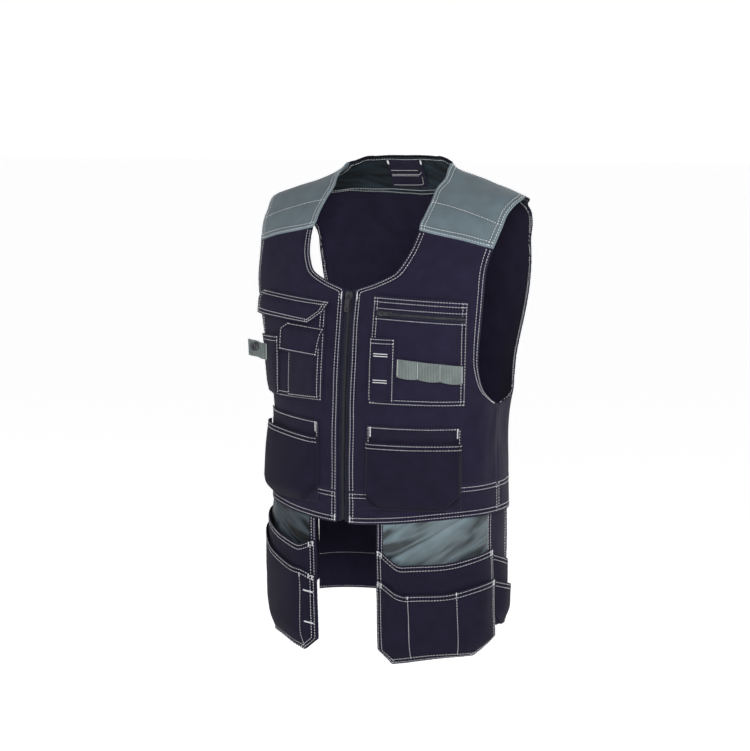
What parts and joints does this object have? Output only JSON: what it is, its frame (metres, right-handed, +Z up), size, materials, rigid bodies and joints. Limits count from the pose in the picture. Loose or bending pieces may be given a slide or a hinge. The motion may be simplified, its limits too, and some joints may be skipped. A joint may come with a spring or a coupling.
{
  "type": "work vest",
  "caption": "Sleeveless zip-front work vest with chest and waist pockets, tool holsters that hang below the hem and a longer back tail.",
  "frame": {"origin": "between the shoulders, on the vest's middle plane, at the height where the vest sits on the wearer's shoulders", "axes": "+Z up, -Y is the front with the zip, +X is the wearer's left"},
  "size_m": [0.4628, 0.3045, 0.7831],
  "materials": {
    "navy_cloth": "matt twill with pale topstitching",
    "navy_dark": "matt twill",
    "grey_twill": "matt twill with pale topstitching",
    "grey_satin": "smooth, slightly shiny",
    "dark_facing": "smooth",
    "grey_webbing": "ribbed",
    "zip_tape": "woven",
    "zip_plastic": "satin",
    "dark_metal": "satin"
  },
  "bodies": {
    "vest": {"front_left": "navy_cloth", "front_right": "navy_cloth", "back_panel": "navy_cloth", "back_yoke": "navy_cloth", "front_band_left": "navy_cloth", "front_band_right": "navy_cloth", "back_band": "navy_cloth", "shoulder_yoke_left": "grey_twill", "shoulder_yoke_right": "grey_twill", "neck_facing": "dark_facing", "neck_patch": "navy_dark", "zip_tape_left": "zip_tape", "zip_tape_right": "zip_tape", "zip_teeth": "zip_plastic", "zip_slider": "dark_metal", "chest_pocket_right": "navy_cloth", "phone_pouch": "navy_dark", "pen_pouch": "navy_dark", "phone_flap": "navy_cloth", "chest_flap": "navy_cloth", "snap_tab": "grey_webbing", "snap": "dark_metal", "chest_pocket_left": "navy_cloth", "pen_strip": "navy_cloth", "webbing_loops": "grey_webbing", "pocket_zip_tape": "zip_tape", "pocket_zip_teeth": "dark_metal", "pocket_slider": "dark_metal", "lower_pocket_left_back": "navy_dark", "lower_pocket_left_pouch": "navy_cloth", "lower_pocket_right_back": "navy_dark", "lower_pocket_right_pouch": "navy_cloth", "front_holster_left_backing": "navy_cloth", "front_holster_left_lining": "grey_satin", "front_holster_left_upper_pouch": "navy_cloth", "front_holster_left_lower_pouch": "navy_cloth", "front_holster_right_backing": "navy_cloth", "front_holster_right_lining": "grey_satin", "front_holster_right_upper_pouch": "navy_cloth", "front_holster_right_lower_pouch": "navy_cloth", "side_holster_left_backing": "navy_cloth", "side_holster_left_upper_pouch": "navy_cloth", "side_holster_left_lower_pouch": "navy_cloth", "side_holster_right_backing": "navy_cloth", "side_holster_right_upper_pouch": "navy_cloth", "side_holster_right_lower_pouch": "navy_cloth", "tail": "navy_cloth"},
    "main_pull": {"zip_pull": "dark_metal"},
    "small_pull": {"pocket_pull": "dark_metal"}
  },
  "joints": [
    {"name": "zip_pull_hinge", "type": "hinge", "parent": "vest", "child": "main_pull", "pos_m": [0, -0.12004, -0.16414], "axis": [-1, 0, 0], "range_deg": [0, 150]},
    {"name": "pocket_pull_hinge", "type": "hinge", "parent": "vest", "child": "small_pull", "pos_m": [0.06715, -0.13071, -0.18725], "axis": [0.0125, -0.1443, -0.9895], "range_deg": [0, 150]}
  ]
}
